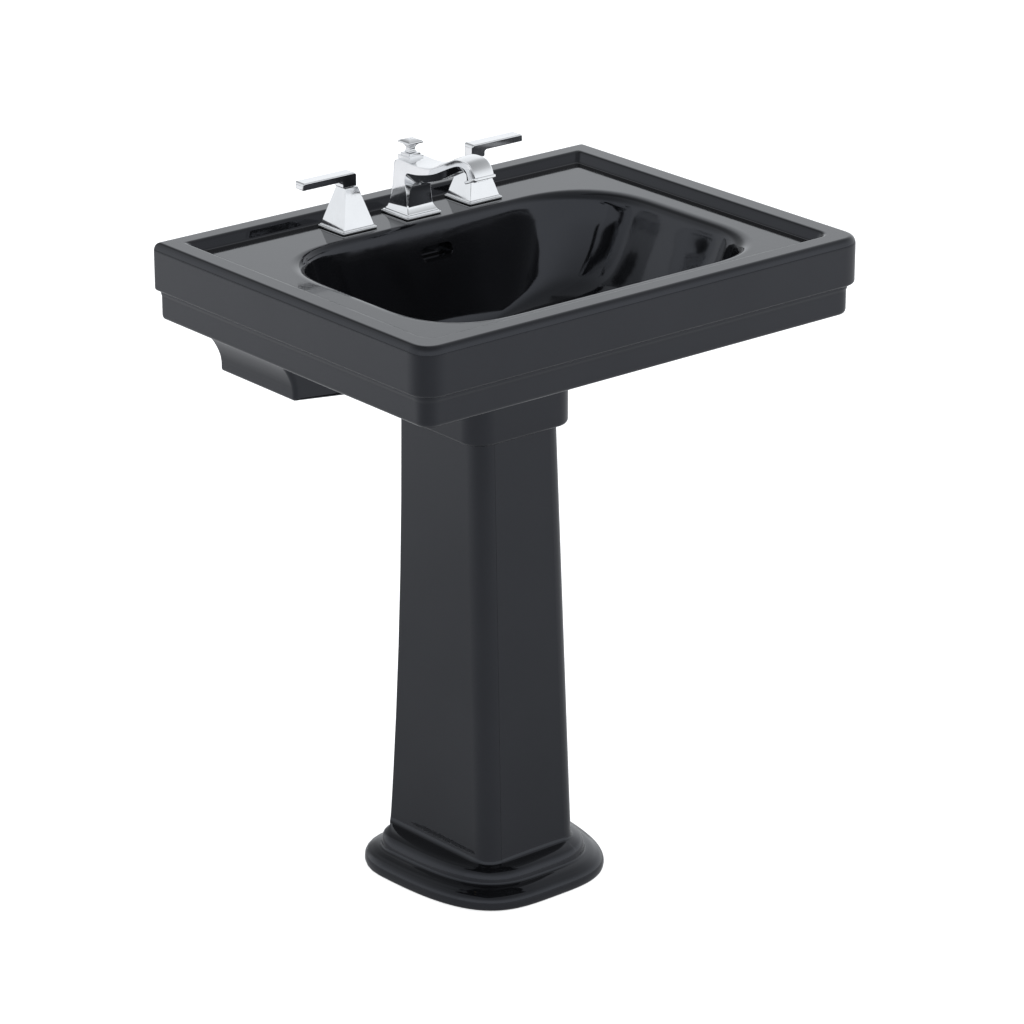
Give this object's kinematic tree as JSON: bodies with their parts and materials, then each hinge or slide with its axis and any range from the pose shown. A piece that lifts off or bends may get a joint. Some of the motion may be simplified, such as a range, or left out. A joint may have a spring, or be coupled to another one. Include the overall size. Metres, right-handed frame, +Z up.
{
  "type": "pedestal sink",
  "caption": "Pedestal sink with a rectangular black basin on a tapered foot, widespread lever faucet and linked pop-up drain.",
  "frame": {"origin": "on the floor, under the middle of the basin's outline", "axes": "+X to the right as seen by the user, +Y towards the wall, +Z up"},
  "size_m": [0.698, 0.54, 0.9552],
  "materials": {
    "glazed_china": "glossy black glaze over vitreous china",
    "polished_chrome": "polished",
    "brass": "machined",
    "stainless_steel": "satin",
    "black_rubber": "matte",
    "white_plastic": "matte"
  },
  "bodies": {
    "sink": {"basin": "glazed_china", "pedestal": "glazed_china", "spout_body": "polished_chrome", "spout_base_plate": "polished_chrome", "spout_gasket": "black_rubber", "spout_shank": "brass", "spout_washer": "black_rubber", "spout_lock_nut": "brass", "aerator_housing": "polished_chrome", "aerator_screen": "white_plastic", "hot_escutcheon": "polished_chrome", "hot_base_plate": "polished_chrome", "hot_gasket": "black_rubber", "hot_cartridge": "white_plastic", "hot_bonnet_nut": "brass", "hot_valve_body": "brass", "hot_washer": "black_rubber", "hot_mounting_nut": "brass", "cold_escutcheon": "polished_chrome", "cold_base_plate": "polished_chrome", "cold_gasket": "black_rubber", "cold_cartridge": "white_plastic", "cold_bonnet_nut": "brass", "cold_valve_body": "brass", "cold_washer": "black_rubber", "cold_mounting_nut": "brass", "supply_tee": "brass", "hot_hose": "stainless_steel", "cold_hose": "stainless_steel", "hot_valve_hose_nut": "brass", "hot_tee_hose_nut": "brass", "cold_valve_hose_nut": "brass", "cold_tee_hose_nut": "brass", "drain_flange": "polished_chrome", "drain_flange_seal": "white_plastic", "drain_body": "brass", "drain_gasket": "black_rubber", "drain_washer": "white_plastic", "drain_lock_nut": "brass", "tailpiece": "polished_chrome", "pivot_seat": "white_plastic", "pivot_nut": "white_plastic"},
    "hot_handle": {"hot_lever": "polished_chrome", "hot_set_screw": "stainless_steel", "hot_stem": "brass"},
    "cold_handle": {"cold_lever": "polished_chrome", "cold_set_screw": "stainless_steel", "cold_stem": "brass"},
    "lift_assembly": {"lift_knob": "polished_chrome", "lift_rod": "polished_chrome", "clevis_strap": "stainless_steel", "clevis_screw": "stainless_steel"},
    "pivot_lever": {"pivot_rod": "polished_chrome", "spring_clip": "stainless_steel"},
    "pop_up": {"stopper": "polished_chrome", "stopper_seal": "black_rubber"}
  },
  "joints": [
    {"name": "hot_handle_turn", "type": "hinge", "parent": "sink", "child": "hot_handle", "pos_m": [-0.1016, 0.196, 0.91], "axis": [0, 0, 1], "range_deg": [0, 90]},
    {"name": "cold_handle_turn", "type": "hinge", "parent": "sink", "child": "cold_handle", "pos_m": [0.1016, 0.196, 0.91], "axis": [0, 0, 1], "range_deg": [-90, 0]},
    {"name": "lift_rod_slide", "type": "slide", "parent": "sink", "child": "lift_assembly", "axis": [0, 0, 1], "range_m": [0, 0.028]},
    {"name": "pivot_rod_tilt", "type": "hinge", "parent": "sink", "child": "pivot_lever", "pos_m": [0, 0.097, 0.645], "axis": [1, 0, 0], "range_deg": [0, 15.5]},
    {"name": "stopper_slide", "type": "slide", "parent": "sink", "child": "pop_up", "axis": [0, 0, 1], "range_m": [-0.0075, 0]}
  ],
  "couplings": [
    {"joint": "pivot_rod_tilt", "follows": "lift_rod_slide", "rad_per_m": 9.461},
    {"joint": "stopper_slide", "follows": "lift_rod_slide", "ratio": -0.2571}
  ]
}
